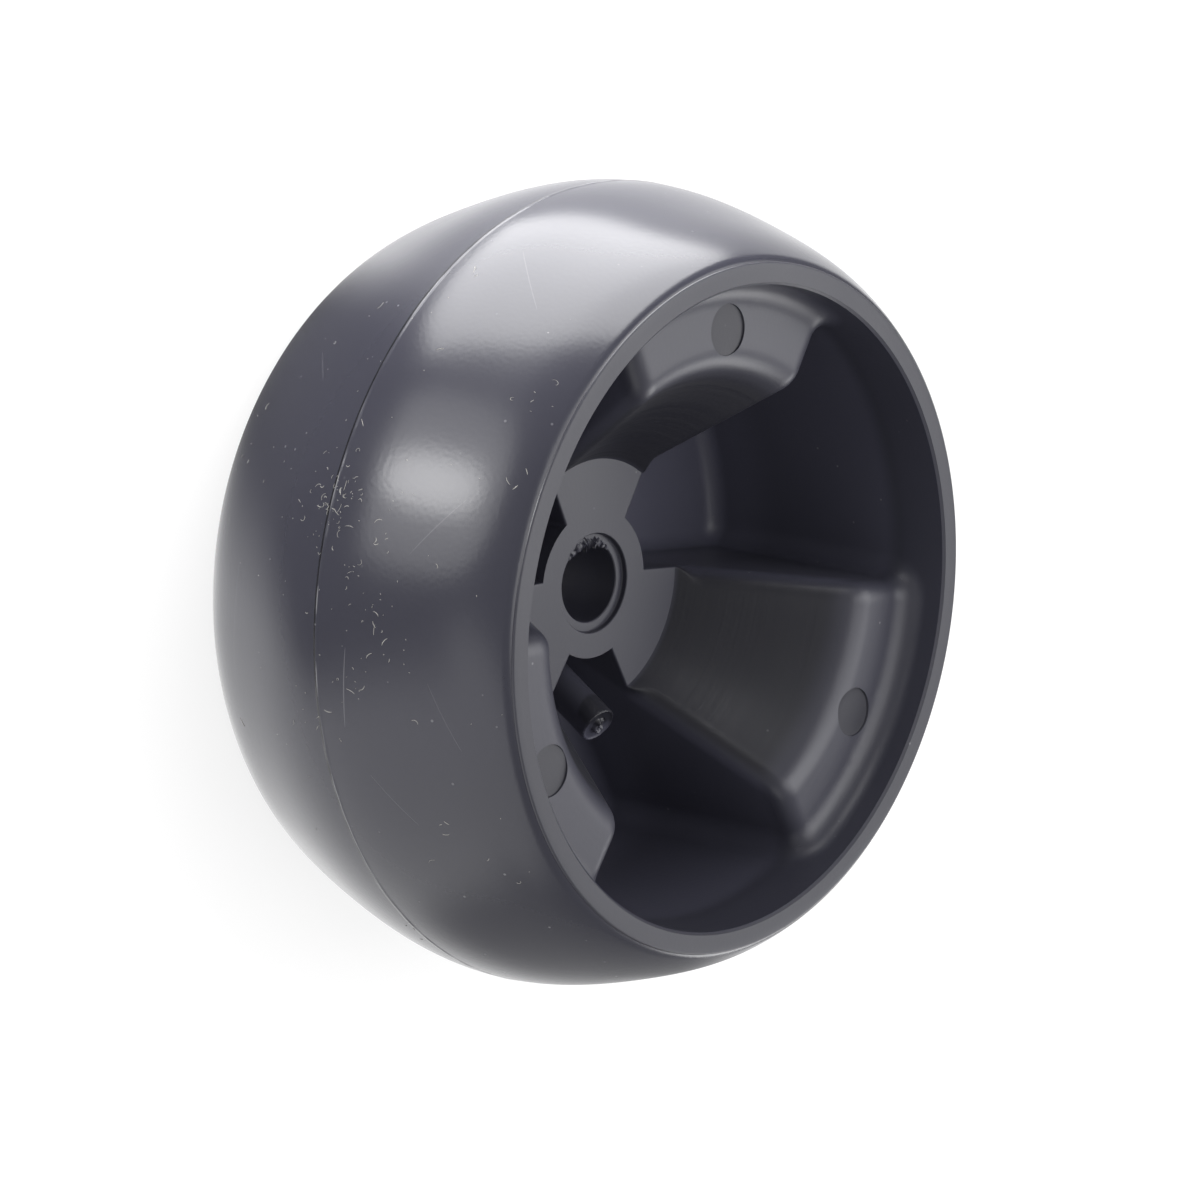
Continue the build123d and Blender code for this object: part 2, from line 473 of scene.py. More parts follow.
def web_half(face):
    """Half a sector with half a pocket, as rows by columns of radius, angle and height.

    Each row crosses the section at about one radius: flat top, rounded edge, side wall, fillet, floor. Rows
    run from the hub's edge down its wall, out along the web, and up the barrel's wall to the rim.
    """
    tops, edges, walls, feet, floors = HALF_COLUMNS
    high_rows, low_rows = face.rows()
    count = HALF_TOTAL + 1
    bounds = np.cumsum(HALF_COLUMNS)
    column = np.arange(count)
    lean = np.clip((column - bounds[1]) / walls, 0, 1)
    r = high_rows[:, None] * (1 - lean) + low_rows[:, None] * lean

    def section(r):
        """Angle and height of every column at its radius."""
        zt, zl = face.high_z(r), face.low_z(r)
        rho = np.minimum(face.edge(r), (zt - zl) * 0.45)
        corner = face.side(r, zt)
        base = face.side(r, zl)
        foot = np.minimum(face.foot, (HALF_PITCH - base) * r * 0.7)
        top_t = np.clip(column / tops, 0, 1)
        turn = np.clip((column - bounds[0]) / edges, 0, 1) * pi / 2
        theta = top_t * (corner - rho / r) + np.sin(turn) * rho / r
        z = zt - rho * (1 - np.cos(turn))
        drop = np.clip((column - bounds[1]) / walls, 0, 1)
        wall_z = (zt - rho) + drop * ((zl + foot) - (zt - rho))
        on_wall = (column > bounds[1]) & (column <= bounds[2])
        z = np.where(on_wall, wall_z, z)
        theta = np.where(on_wall, face.side(r, wall_z), theta)
        bend = np.clip((column - bounds[2]) / feet, 0, 1) * pi / 2
        past = column > bounds[2]
        across = np.clip((column - bounds[3]) / floors, 0, 1)
        start = base + foot / r
        foot_theta = base + foot * (1 - np.cos(bend)) / r
        foot_z = zl + foot * (1 - np.sin(bend))
        z = np.where(past, foot_z, z)
        floor_theta = start + across * (HALF_PITCH - start)
        theta = np.where(past, np.where(column > bounds[3], floor_theta, foot_theta), theta)
        return theta, z

    theta, z = section(r)
    theta[:, 0] = 0
    theta[:, -1] = HALF_PITCH
    r[-1] = face.wall_r(z[-1])

    hub_r = face.w["hub_r"]
    first = theta[0]
    corner = first[bounds[1]]
    past_edge = np.clip((column - bounds[1]) / (count - 1 - bounds[1]), 0, 1)
    edge_theta = np.where(column <= bounds[1], first, corner + (HALF_PITCH - corner) * past_edge)
    t = np.linspace(0, 1, 15)[:-1, None]
    hub_theta = edge_theta + (first - edge_theta) * t
    hub_z = face.hub_z + (z[0] - face.hub_z) * t
    hub_rows = hub_r + (r[0] - hub_r) * t

    rim_theta = column / (count - 1) * HALF_PITCH
    top_z = face.rim_z - face.b["edge_break"]
    t = np.linspace(0, 1, 47)[1:, None] ** 1.35
    wall_theta = theta[-1] + (rim_theta - theta[-1]) * t
    wall_z = z[-1] + (top_z - z[-1]) * t
    wall_rows = face.wall_r(wall_z)

    r = np.concatenate([hub_rows, r, wall_rows])
    theta = np.concatenate([hub_theta, theta, wall_theta])
    z = np.concatenate([hub_z, z, wall_z])
    return r, theta, z


def settle(face, r, theta, z, steps=14):
    """Moves points along the distance's gradient until they lie on the filleted surface, edges held."""
    x, y = r * np.cos(theta), r * np.sin(theta)
    held = np.zeros_like(x, dtype=bool)
    held[0] = held[-1] = True
    if face.up > 0:
        held |= (z > face.face_z - 0.001) & (r < face.w["wing_r"] + 0.5)
    loose = ~held
    step = 1e-4
    ease = 0.9
    for _ in range(steps):
        d = face.distance(x, y, z)
        gx = (face.distance(x + step, y, z) - face.distance(x - step, y, z)) / (2 * step)
        gy = (face.distance(x, y + step, z) - face.distance(x, y - step, z)) / (2 * step)
        gz = (face.distance(x, y, z + step) - face.distance(x, y, z - step)) / (2 * step)
        scale = np.where(loose, d / np.maximum(gx * gx + gy * gy + gz * gz, 0.25), 0) * ease
        x, y, z = x - scale * gx, y - scale * gy, z - scale * gz
    y[:, 0] = 0
    r, theta = np.hypot(x, y), np.arctan2(y, x)
    theta[:, -1] = HALF_PITCH
    return r, theta, z


def web_points(face):
    """The whole face in millimetres: each half mirrored and turned three times round."""
    r, theta, z = settle(face, *web_half(face))
    r = np.concatenate([r[:, :0:-1], r[:, :-1]], axis=1)
    z = np.concatenate([z[:, :0:-1], z[:, :-1]], axis=1)
    theta = np.concatenate([-theta[:, :0:-1], theta[:, :-1]], axis=1)
    turned = np.concatenate([theta + radians(at) for at in face.high_at], axis=1)
    r, z = np.tile(r, 3), np.tile(z, 3)
    return np.stack([r * np.cos(turned), r * np.sin(turned), face.up * z], axis=-1)


def open_face_mesh(face):
    """The open face with a round pin mark let into each pad.

    Round each mark a window of the grid is left out. Rings run from the window's outline to the mark's
    circle, each point straight towards the middle, then down its wall and across its flat floor.
    """
    points = web_points(face)
    rows, columns = points.shape[:2]
    faces = grid_faces(rows, columns, flip=True)
    keep = np.ones(faces.shape[:2], dtype=bool)
    web = face.w
    radii = np.hypot(points[:, HALF_TOTAL - 1, 0], points[:, HALF_TOTAL - 1, 1])
    heights = points[:, HALF_TOTAL - 1, 2]
    near_r, far_r = web["mark_pitch_r"] - WINDOW_REACH[0], web["mark_pitch_r"] + WINDOW_REACH[1]
    on_pad = np.nonzero((radii > near_r) & (radii < far_r) & (heights < face.pad_z + WINDOW_RISE))[0]
    low, high = on_pad[0], on_pad[-1]
    all_points, all_faces = [points.reshape(-1, 3)], []
    count = rows * columns
    for n, at in enumerate(face.high_at):
        middle = n * 2 * HALF_TOTAL + HALF_TOTAL - 1
        left, right = middle - WINDOW_COLUMNS, middle + WINDOW_COLUMNS
        keep[low:high, left:right] = False
        across, along = np.arange(left, right), np.arange(low, high)
        row = np.concatenate([across * 0 + low, along, across * 0 + high, along[::-1] + 1])
        column = np.concatenate([across, along * 0 + right, across[::-1] + 1, along * 0 + left])
        outline = points[row, column]
        centre = web["mark_pitch_r"] * np.array([cos(radians(at)), sin(radians(at))])
        to_edge = outline[:, :2] - centre
        unit = to_edge / np.linalg.norm(to_edge, axis=1)[:, None]
        rings = []
        for t in WINDOW_RINGS:
            flat = centre + to_edge * (1 - t) + unit * web["mark_r"] * t
            rings.append(np.column_stack([flat, face.pad_height(np.linalg.norm(flat, axis=1))]))
        floor = face.pad_z - web["mark_depth"]
        for size in FLOOR_RINGS:
            flat = centre + unit * web["mark_r"] * size
            lift = 0.03 if size == FLOOR_RINGS[0] else 0.0
            rings.append(np.column_stack([flat, np.full(len(flat), floor + lift)]))
        ring = np.concatenate(rings)
        size = len(row)
        first = row * columns + column
        numbers = np.concatenate([first[None], count + np.arange(len(ring)).reshape(-1, size)])
        closed = np.concatenate([numbers, numbers[:, :1]], axis=1)
        a, b, c, d = closed[:-1, :-1], closed[:-1, 1:], closed[1:, 1:], closed[1:, :-1]
        all_faces.append(np.stack([a, b, c, d], axis=-1).reshape(-1, 4))
        last = numbers[-1]
        near, far = last[: size // 2], last[::-1][: size // 2]
        all_faces.append(np.stack([near[:-1], near[1:], far[1:], far[:-1]], axis=-1))
        all_points.append(ring)
        count += len(ring)
    return np.concatenate(all_points), np.concatenate([faces[keep]] + all_faces)


# Surfaces of revolution


def turned_points(radius, height, columns):
    """A profile of radii and heights carried round the axis."""
    angles = np.arange(columns) / columns * 2 * pi
    shape = (len(radius), columns)
    r = np.broadcast_to(np.asarray(radius, float)[:, None], shape)
    z = np.broadcast_to(np.asarray(height, float)[:, None], shape)
    return np.stack([r * np.cos(angles), r * np.sin(angles), z], axis=-1)


def crown(barrel, z):
    """Tread radius at a height: the crown radius less an even polynomial of the height."""
    s = z / (barrel["width"] / 2)
    second, fourth, sixth = CROWN_FALL
    fall = second * s**2 + fourth * s**4 + sixth * s**6
    scale = (barrel["outer_r"] - barrel["rim_r"]) / sum(CROWN_FALL)
    return barrel["outer_r"] - fall * scale


def tread_points(barrel):
    """The barrel from one rim's inner edge over the tread to the other's.

    The crown curve carries the parting ridge, a rounded bump whose height and place waver a little round
    the wheel. Each end is a quarter round, a flat rim and an edge break.
    """
    half = barrel["width"] / 2
    fine = np.linspace(-1, 1, 13)
    near_seam = barrel["parting_z"] + fine * barrel["seam_w"] * 0.75
    z = np.concatenate([np.linspace(-half + 0.5, half - 0.5, 76), near_seam])
    z = np.sort(z[(np.abs(z - barrel["parting_z"]) > barrel["seam_w"] * 0.76) | np.isin(z, near_seam)])
    angles = np.arange(RING_TOTAL) / RING_TOTAL * 2 * pi
    flat = np.ones(RING_TOTAL)
    r = crown(barrel, z)[:, None] * flat
    off = (z[:, None] - barrel["parting_z"] - 0.05 * wave_noise(angles, 3)) / (barrel["seam_w"] / 2)
    height = barrel["seam_h"] * (0.75 + 0.25 * wave_noise(angles, 7, 8, 90, 20))
    r = r + height * np.exp(-((np.abs(off) * 1.35) ** 2.4))
    z = z[:, None] * flat
    turn = np.linspace(0, 1, 6) * pi / 2
    rho, cut, rim_r, mouth_r = [barrel[name] for name in ("rim_round", "edge_break", "rim_r", "mouth_r")]
    bend_r = rim_r - rho + rho * np.cos(turn)
    bend_z = half - rho + rho * np.sin(turn)
    top_r = np.outer([*bend_r, rim_r - 1.5, mouth_r + cut, mouth_r], flat)
    top_z = np.outer([*bend_z, half, half, half - cut], flat)
    r = np.concatenate([top_r[::-1], r, top_r])
    z = np.concatenate([-top_z[::-1], z, top_z])
    return np.stack([r * np.cos(angles), r * np.sin(angles), z], axis=-1)


def bore_points(barrel, web):
    """Hub face, shallow recess, bore and far hub face as one turned profile."""
    half = barrel["width"] / 2
    face = web["hub_l"] - half
    floor = face - web["recess_depth"]
    bore, recess, hub = web["bore_r"], web["recess_r"], web["hub_r"]
    brim, lip, corner, land = 0.6, 0.12, 0.15, 6.0
    profile = [
        (hub, face),
        (recess + brim, face),
        (recess + lip, face),
        (recess, face - lip),
        (recess, floor + corner),
        (recess - corner, floor),
        (bore + corner, floor),
        (bore, floor - corner),
        (bore, floor - land),
        (bore, -half + land),
        (bore, -half + barrel["edge_break"]),
        (bore + barrel["edge_break"], -half),
        (hub, -half),
    ]
    r, z = np.array(profile).T
    return turned_points(r, z, 240)


def post_points(post):
    """The leaning post: a drum with a rough raised rim, a dished end and a torn stub in the middle.

    Its profile is carried round its own axis. The stub wavers and one side of it is torn lower. Then it is
    leant outwards and set at its tip.
    """
    columns = 120
    angles = np.arange(columns) / columns * 2 * pi
    share_r, height = np.array([(1.0, -post["reach"]), *POST_END]).T
    stub = smooth_step(0.5 - share_r, 0, 0.12)[:, None]
    rim = np.exp(-(((share_r - 0.94) / 0.05) ** 2))[:, None]
    torn = smooth_step(np.cos(angles - 2.2), 0.3, 0.95)
    r = post["radius"] * share_r[:, None] * (1 + stub * 0.12 * wave_noise(angles, 12, 2, 8, 6))
    h = height[:, None] + stub * (0.22 * wave_noise(angles, 11, 2, 9, 8) - 0.45 * torn)
    h = h + rim * 0.05 * wave_noise(angles, 13, 3, 25, 12)
    x, y = r * np.cos(angles), r * np.sin(angles)
    lean = post["lean"]
    out = post["tip_r"] + x * cos(lean) + h * sin(lean)
    up = post["tip_z"] - x * sin(lean) + h * cos(lean)
    return np.stack([out, y, up], axis=-1)


def chip_points(barrel, chip):
    """Curled chips and specks that lie on the tread, as points and faces.

    Each is an arc of seeded heading, bend and length: a ribbon of eight places along by three across,
    raised in the middle, tapered to both ends and wrapped onto the crown. Wide groups are mostly short
    specks.
    """
    source = np.random.default_rng(5)
    places, lines = 8, 3
    groups = np.array(CHIP_GROUPS)
    at, height, spread = np.repeat(groups[:, :3], groups[:, 3].astype(int), axis=0).T
    total = len(at)
    curled = source.random(total) < np.where(spread > 10, 0.12, 0.7)
    curled_size = source.uniform(0.5, 1.0, total) ** 2 * chip["length"]
    size = np.where(curled, curled_size, source.uniform(0.12, 0.3, total))
    width = chip["width"] * source.uniform(0.6, 1.2, total)
    bend = source.normal(0, 2.2, total) * curled
    heading = source.uniform(0, 2 * pi, total)
    centre_x = barrel["outer_r"] * np.radians(at) + source.normal(0, 1, total) * spread
    centre_z = height + source.normal(0, 0.8, total) * spread
    s = np.linspace(-0.5, 0.5, places)
    turn = heading[:, None] + bend[:, None] * s
    step = size[:, None] / (places - 1)
    run_x = np.cumsum(np.cos(turn) * step, axis=1)
    run_z = np.cumsum(np.sin(turn) * step, axis=1)
    taper = np.sqrt(1 - (2 * s * 0.94) ** 2)
    across = np.array([-1, 0, 1])[None, None] * (width[:, None] * taper)[..., None] / 2
    x = (centre_x[:, None] + run_x)[..., None] - np.sin(turn)[..., None] * across
    z = (centre_z[:, None] + run_z)[..., None] + np.cos(turn)[..., None] * across
    z = np.clip(z, 1 - barrel["width"] / 2, barrel["width"] / 2 - 1)
    lift = np.broadcast_to(np.array([0.005, chip["lift"], 0.005]), x.shape)
    r = crown(barrel, z) + lift
    theta = x / barrel["outer_r"]
    points = np.stack([r * np.cos(theta), r * np.sin(theta), z], axis=-1)
    faces = grid_faces(places, lines, closed=False).reshape(-1, 4)
    first = places * lines * np.arange(total)
    return points.reshape(-1, 3), (faces + first[:, None, None]).reshape(-1, 4)


def bore_flash_points(barrel, web):
    """A torn fringe on one side of the bore's mouth: a ragged crescent, thicker in its middle."""
    floor = web["hub_l"] - barrel["width"] / 2 - web["recess_depth"]
    columns = 90
    angles = np.linspace(radians(140), radians(232), columns)
    none = np.zeros(columns)
    middle = np.sin(np.linspace(0, pi, columns)) ** 0.7
    reach = middle * (0.55 + 0.35 * wave_noise(angles, 21, 20, 120, 20))
    lift = middle * (0.55 + 0.30 * wave_noise(angles, 22, 15, 90, 20))
    outer = web["bore_r"] + 0.25 + middle * (0.5 + 0.3 * wave_noise(angles, 23, 10, 80, 16))
    inner = web["bore_r"] - np.maximum(reach, 0.02)
    crest = (outer + inner) / 2 + 0.1
    r = np.stack([outer, crest, inner, inner + 0.05, web["bore_r"] + none], axis=1)
    z = floor + np.stack([none, lift, 0.5 * lift, -0.35 * middle, -0.6 * middle], axis=1)
    return np.stack([r * np.cos(angles)[:, None], r * np.sin(angles)[:, None], z], axis=-1)


# Shader maths


class Value:
    """A socket that can be used in Python expressions: each operation adds its Math node."""

    def __init__(self, recipe, socket):
        self.recipe, self.socket = recipe, socket

    def maths(self, operation, *others):
        """A Math node on this socket and others."""
        return self.recipe.node("ShaderNodeMath", {"operation": operation}, [self, *others])

    def __add__(self, other):
        return self.maths("ADD", other)

    __radd__ = __add__

    def __mul__(self, other):
        return self.maths("MULTIPLY", other)

    __rmul__ = __mul__

    def __sub__(self, other):
        return self.maths("SUBTRACT", other)

    def __rsub__(self, other):
        return self.maths("MULTIPLY", -1.0) + other

    def __truediv__(self, other):
        return self.maths("DIVIDE", other)

    def __pow__(self, other):
        return self.maths("POWER", other)

    def __abs__(self):
        return self.maths("ABSOLUTE")

    def least(self, other):
        """The smaller of two numbers."""
        return self.maths("MINIMUM", other)

    def most(self, other):
        """The larger of two numbers."""
        return self.maths("MAXIMUM", other)

    def ease(self, low, high):
        """Zero at low, one at high, eased between."""
        settings = {"interpolation_type": "SMOOTHSTEP"}
        values = {"Value": self, "From Min": low, "From Max": high, "To Min": 0.0, "To Max": 1.0}
        return self.recipe.node("ShaderNodeMapRange", settings, values)


class Recipe:
    """A node tree under construction: a new material's, or the one that is given."""

    def __init__(self, name="", tree=None):
        self.material = None if tree else bpy.data.materials.new(name)
        if self.material:
            self.material.use_nodes = True
            tree = self.material.node_tree
        self.tree = tree
        self.tree.nodes.clear()
        place = self.tree.nodes.new("ShaderNodeTexCoord")
        self.place = Value(self, place.outputs["Object" if self.material else "Generated"])

    def rays(self):
        """Two numbers that are one for camera rays and for mirrored or refracted rays."""
        outputs = self.node("ShaderNodeLightPath").socket.node.outputs
        camera, glossy, through = [
            Value(self, outputs[name]) for name in ("Is Camera Ray", "Is Glossy Ray", "Is Transmission Ray")
        ]
        return camera, glossy.most(through)

    def towards(self, direction):
        """How far a place or a direction lies along this one."""
        return self.node("ShaderNodeVectorMath", {"operation": "DOT_PRODUCT"}, [self.place, direction], 1)

    def coordinates(self):
        """The three object coordinates in metres."""
        node = self.node("ShaderNodeSeparateXYZ", None, [self.place]).socket.node
        return [Value(self, output) for output in node.outputs]

    def vector(self, x, y, z):
        """A vector of three numbers."""
        return self.node("ShaderNodeCombineXYZ", None, [x, y, z])

    def specks(self, dust):
        """Round dust specks: near the middle of a few cells of a cell texture, more of them in drifts."""
        values = {"Vector": self.place, "Scale": 420.0}
        cells = self.node("ShaderNodeTexVoronoi", {"voronoi_dimensions": "3D"}, values).socket.node
        near = Value(self, cells.outputs["Distance"])
        chance = self.node("ShaderNodeSeparateXYZ", None, [Value(self, cells.outputs["Color"])])
        drift = self.noise(28.0, 1.0).ease(0.46, 0.68)
        return near.ease(0.11, 0.05) * chance.ease(0.80, 0.84) * (0.10 + drift * 0.6) * dust

    def scaled(self, shade, factor):
        """A colour times a number."""
        settings = {"operation": "SCALE"}
        return self.node("ShaderNodeVectorMath", settings, {0: shade[:3], "Scale": factor})

    def distance(self, point, place=None):
        """Distance of a place from this point."""
        return self.node("ShaderNodeVectorMath", {"operation": "DISTANCE"}, [place or self.place, point], 1)

    def grey(self, value):
        """A grey of this value."""
        return self.node("ShaderNodeCombineColor", None, [value, value, value])

    def node(self, kind, settings=None, values=None, output=0):
        """Adds a node, sets its settings first and then its sockets, and returns one output."""
        node = self.tree.nodes.new(kind)
        for name, setting in (settings or {}).items():
            setattr(node, name, setting)
        pairs = values.items() if isinstance(values, dict) else enumerate(values or [])
        for name, value in pairs:
            socket = node.inputs[name]
            if isinstance(value, Value):
                self.tree.links.new(value.socket, socket)
            else:
                socket.default_value = value
        return Value(self, node.outputs[output]) if node.outputs else None

    def noise(self, scale, detail, roughness=0.55, place=None):
        """A smooth noise of so many octaves, by scale per metre."""
        values = {"Vector": place or self.place, "Scale": scale, "Detail": detail, "Roughness": roughness}
        return self.node("ShaderNodeTexNoise", None, values)

    def mix(self, factor, first, second):
        """A blend of two colours."""
        return self.node("ShaderNodeMix", {"data_type": "RGBA"}, {0: factor, 6: first, 7: second}, 2)

    def bump(self, height, strength, distance, normal=None):
        """A normal that is tilted by a height, on top of another normal if one is given."""
        values = {"Strength": strength, "Distance": distance, "Height": height}
        if normal:
            values["Normal"] = normal
        return self.node("ShaderNodeBump", None, values)

    def finish(self, shader):
        """Links the shader to the output."""
        self.node("ShaderNodeOutputMaterial", None, {"Surface": shader})
        return self.material


def tint(value, factor=1.0):
    """A colour of four numbers from a property's three, scaled."""
    return (*[channel * factor for channel in value], 1.0)


def moulded_plastic(face, look):
    """Dark satin polyolefin: glossy outside, duller inside, turned rings on the cones, dust, scratches, and
    painted light and shade in its colour.

    Each zone is a number between zero and one, eased over radius and height from the sizes of the web.
    """
    recipe = Recipe("moulded_plastic")
    x, y, z = recipe.coordinates()
    r = (x * x + y * y) ** 0.5
    mouth, wing = face.b["mouth_r"] * MM, face.w["wing_r"] * MM
    top, pad_z, wing_z = face.rim_z * MM, face.pad_z * MM, face.face_z * MM
    inside = r.ease(mouth + 0.5 * MM, mouth - 0.1 * MM)
    outside = 1.0 - inside
    rim = z.ease(top - 0.3 * MM, top - 0.1 * MM) * outside
    pad = inside * z.ease(pad_z - 1.7 * MM, pad_z - 0.2 * MM)
    below_pads = inside * z.ease(pad_z - 1.7 * MM, pad_z - 5.2 * MM)
    off_cone = z - wing_z - (r - wing) * face.slope
    # The cones below the pads: painted shade darkens their colour, while their turned rings are bumps and
    # roughness
    slope = below_pads * off_cone.ease(-1.8 * MM, -0.4 * MM) * z.ease(wing_z + 0.1 * MM, wing_z + 0.7 * MM)
    # Painted light: a lighter colour on the walls and floors that lie deep under the cones' surface
    sides = below_pads * off_cone.ease(-1.2 * MM, -4.0 * MM)
    # Painted light: a lighter colour deep in the pockets, below the hub's face
    pocket = inside * z.ease(wing_z - 1.3 * MM, wing_z - 11.3 * MM)
    marks = pin_marks(recipe, face)
    # Painted shade and a painted highlight along the parting ridge
    seam_painted_shade, seam_painted_highlight = seam_painted_light(recipe, face, z, outside)
    scratched = scratch_lines(recipe, face, x, y, z, look.scratches)
    # Pale marks: dust specks, scratches and the seam's painted highlight
    pale = recipe.specks(look.dust).most(scratched).most(seam_painted_highlight)

    mottle = recipe.noise(45.0, 1.0)
    haze = recipe.noise(16.0, 3.0, 0.65)
    grain = recipe.noise(1500.0, 0.0)
    rings = recipe.noise(1700.0, 1.0, 0.6, recipe.vector(r, z * 0.3, 0.0))

    # The colour's brightness: painted light lifts it inside the barrel, in the pockets and on the deep walls,
    # painted shade darkens the cones and the seam's foot, the pin marks are darker and the pads a little
    # lighter
    shade = 0.93 + mottle * 0.14 + inside * 0.2 + pocket * 0.9 + sides * 0.7 + pad * 0.1
    shade = shade - slope * 0.6 - marks * 0.45 - seam_painted_shade * 0.75
    base = recipe.mix(pale, recipe.scaled(tint(look.plastic), shade), tint(PALE_DUST_AND_PAINTED_HIGHLIGHT))
    skin = look.roughness - 0.04 + (haze - 0.5) * outside * 0.22 + mottle * 0.08
    dull = rim * 0.20 + inside * 0.16 + marks * 0.12 + pale * 0.3
    rough = skin.least(SKIN_LIMIT) + dull + (rings - 0.5) * slope * 0.3
    turned = recipe.bump(rings * (slope + pad * 0.4), 0.5, 0.00006)
    normal = recipe.bump(grain, 0.12, 0.00008, turned)
    values = {"Base Color": base, "Roughness": rough, "IOR": 1.5, "Normal": normal}
    return recipe.finish(recipe.node("ShaderNodeBsdfPrincipled", None, values))


def pin_marks(recipe, face):
    """One inside the ejector-pin marks, zero outside."""
    reach, height = face.w["mark_pitch_r"] * MM, (face.pad_z - face.w["mark_depth"]) * MM
    centres = [(reach * cos(radians(at)), reach * sin(radians(at)), height) for at in face.high_at]
    edge = face.w["mark_r"] * MM
    inside = [recipe.distance(centre).ease(edge + 0.05 * MM, edge - 0.08 * MM) for centre in centres]
    return inside[0] + inside[1] + inside[2]


def seam_painted_light(recipe, face, z, outside):
    """Painted shade in a dark line under the parting ridge and a painted highlight, a pale broken line, on
    its crest, only outside.
    """
    off = z - face.b["parting_z"] * MM
    # Painted shade: a dark line just under the parting ridge
    dark = abs(off + 0.22 * MM).ease(0.26 * MM, 0.08 * MM) * outside
    broken = recipe.noise(110.0, 1.0, 0.7).ease(0.50, 0.66)
    # Painted highlight: a pale line on the ridge's crest, broken by noise
    pale = abs(off - 0.05 * MM).ease(0.15 * MM, 0.03 * MM) * (0.02 + broken * 0.3) * outside
    return dark, pale


def scratch_lines(recipe, face, x, y, z, strength):
    """Fine straight scratches on the unrolled tread.

    A place lies on one where its distances to the scratch's two ends add up to the scratch's length.
    """
    crown_r = face.b["outer_r"] * MM
    around = recipe.node("ShaderNodeMath", {"operation": "ARCTAN2"}, [y, x])
    unrolled = recipe.vector(around * crown_r, z, 0.0)
    lines = []
    for *ends, paleness in SCRATCHES:
        first, last = [(crown_r * radians(at), height * MM, 0.0) for at, height in ends]
        span = float(np.linalg.norm(np.subtract(first, last)))
        detour = recipe.distance(first, unrolled) + recipe.distance(last, unrolled) - span
        lines.append(detour.ease(0.0000022, 0.0) * (paleness * strength * 0.4))
    palest = lines[0]
    for line in lines[1:]:
        palest = palest.most(line)
    return palest


def pale_chip(chip):
    """Matt pale crumbs of plastic."""
    recipe = Recipe("pale_chip")
    values = {"Base Color": tint(chip.shade), "Roughness": 0.7}
    return recipe.finish(recipe.node("ShaderNodeBsdfPrincipled", None, values))


# Operators


class DeckWheelOperator:
    """What the building operators share."""

    bl_options = {"REGISTER", "UNDO"}

    def groups(self, context):
        """The barrel's and the web's sizes."""
        return in_mm(context.scene.deckwheel_barrel), in_mm(context.scene.deckwheel_web)

    def plastic(self, context):
        """The moulding's material, made once."""
        found = bpy.data.materials.get("moulded_plastic")
        return found or moulded_plastic(OpenFace(*self.groups(context)), context.scene.deckwheel_look)


class DECKWHEEL_OT_tread(DeckWheelOperator, bpy.types.Operator):
    """Build the crowned tread with its parting ridge and flat rims"""

    bl_idname = "deckwheel.tread"
    bl_label = "Tread"

    def execute(self, context):
        barrel, _ = self.groups(context)
        dressed(grid_object("tread", tread_points(barrel)), self.plastic(context))
        return {"FINISHED"}


class DECKWHEEL_OT_open_face(DeckWheelOperator, bpy.types.Operator):
    """Build the open face with its trumpets and pockets"""

    bl_idname = "deckwheel.open_face"
    bl_label = "Open face"

    def execute(self, context):
        points, faces = open_face_mesh(OpenFace(*self.groups(context)))
        dressed(mesh_object("open_face", points, faces), self.plastic(context))
        return {"FINISHED"}


class DECKWHEEL_OT_far_face(DeckWheelOperator, bpy.types.Operator):
    """Build the far face with its shallow ring and hollows"""

    bl_idname = "deckwheel.far_face"
    bl_label = "Far face"

    def execute(self, context):
        points = web_points(FarFace(*self.groups(context)))
        dressed(grid_object("far_face", points), self.plastic(context))
        return {"FINISHED"}


class DECKWHEEL_OT_bore(DeckWheelOperator, bpy.types.Operator):
    """Build the hub's faces, recess and bore"""

    bl_idname = "deckwheel.bore"
    bl_label = "Hub and bore"

    def execute(self, context):
        points = bore_points(*self.groups(context))
        dressed(grid_object("hub_bore", points, flip=True), self.plastic(context))
        return {"FINISHED"}


class DECKWHEEL_OT_post(DeckWheelOperator, bpy.types.Operator):
    """Build the leaning sprue post"""

    bl_idname = "deckwheel.post"
    bl_label = "Sprue post"

    def execute(self, context):
        points = post_points(in_mm(context.scene.deckwheel_post))
        dressed(grid_object("sprue_post", points), self.plastic(context))
        return {"FINISHED"}


class DECKWHEEL_OT_chips(DeckWheelOperator, bpy.types.Operator):
    """Scatter moulding chips over the tread and tear the bore's mouth"""

    bl_idname = "deckwheel.chips"
    bl_label = "Chips and flash"

    def execute(self, context):
        barrel, web = self.groups(context)
        chip = context.scene.deckwheel_chip
        points, faces = chip_points(barrel, in_mm(chip))
        chips = mesh_object("chips", points, faces, sharp=80.0)
        dressed(chips, pale_chip(chip), stands_for_wheel=False)
        points = bore_flash_points(barrel, web)
        fringe = grid_object("bore_fringe", points, flip=True, closed=False, sharp=60.0)
        dressed(fringe, self.plastic(context), stands_for_wheel=False)
        return {"FINISHED"}


class DECKWHEEL_OT_studio(DeckWheelOperator, bpy.types.Operator):
    """Set up the pale floor, the soft lights and the camera"""

    bl_idname = "deckwheel.studio"
    bl_label = "Studio"

    def execute(self, context):
        scene = context.scene
        studio = scene.deckwheel_studio
        lay_floor(studio)
        light_room(scene, studio)
        for name, power, part, *setting in LAMPS:
            soft_light(name, part * getattr(studio, power), *setting)
        place_camera(scene, studio)
        scene.view_settings.view_transform = "Standard"
        return {"FINISHED"}


